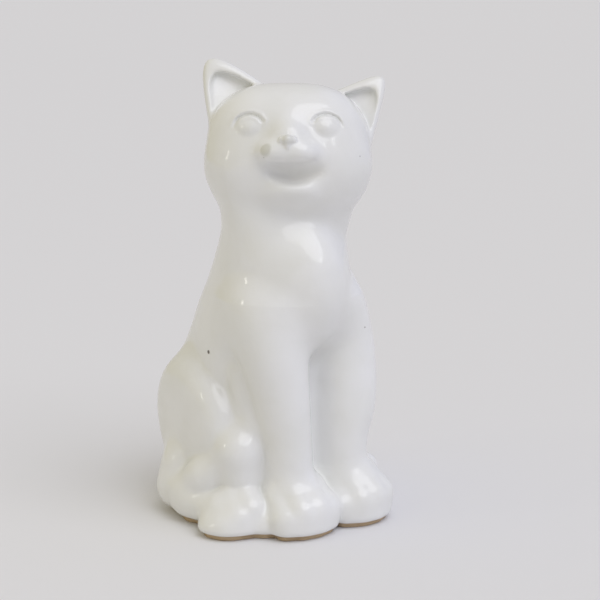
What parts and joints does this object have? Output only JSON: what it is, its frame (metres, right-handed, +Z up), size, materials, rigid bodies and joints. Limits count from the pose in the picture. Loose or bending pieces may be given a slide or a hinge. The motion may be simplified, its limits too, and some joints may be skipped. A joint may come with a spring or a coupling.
{
  "type": "cat figurine",
  "caption": "Seated kitten figurine in white-glazed earthenware, head turned to its right and face lifted, standing on a bare clay foot.",
  "frame": {"origin": "on the table, on the flat underside of the foot slab, in the kitten's plane of symmetry and level with the back of its forelegs", "axes": "+Z up along the height, -Y the way the chest faces, +X the kitten's own left"},
  "size_m": [0.1109, 0.106, 0.2],
  "materials": {
    "white_glaze": "glossy white glaze over cast earthenware",
    "bare_clay": "matt unglazed buff clay"
  },
  "bodies": {
    "root": {"torso": "white_glaze", "head": "white_glaze", "ear_right": "white_glaze", "ear_left": "white_glaze", "foreleg_right": "white_glaze", "foreleg_left": "white_glaze", "hind_leg_right": "white_glaze", "hind_leg_left": "white_glaze", "tail": "white_glaze", "foot_slab": "bare_clay"}
  },
  "joints": []
}
